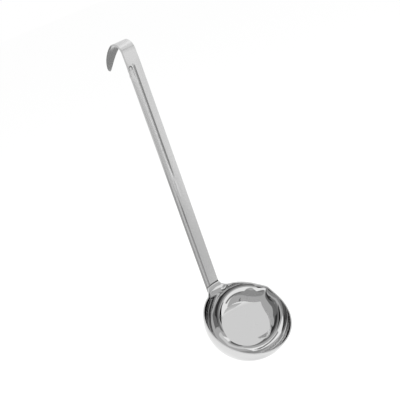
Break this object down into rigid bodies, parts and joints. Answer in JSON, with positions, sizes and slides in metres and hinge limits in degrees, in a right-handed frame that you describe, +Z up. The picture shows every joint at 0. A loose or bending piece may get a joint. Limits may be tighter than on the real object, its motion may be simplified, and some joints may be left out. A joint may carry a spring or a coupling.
{
  "type": "soup ladle",
  "caption": "Steel soup ladle: round bowl with a pointed pouring lip, welded to a long strip handle with a hanging hook.",
  "frame": {"origin": "inner top of the hook's bend, where the rail that the ladle hangs on bears", "axes": "+Z up along the straight handle, -Y towards the front of the handle and the bowl's mouth, +X to the right seen from the front"},
  "size_m": [0.0905, 0.1166, 0.3378],
  "materials": {
    "bowl_steel": "mirror polished stainless steel",
    "handle_steel": "satin stainless steel",
    "weld_steel": "matt spot weld"
  },
  "bodies": {
    "root": {"bowl": "bowl_steel", "handle": "handle_steel", "weld_upper": "weld_steel", "weld_lower": "weld_steel"}
  },
  "joints": []
}
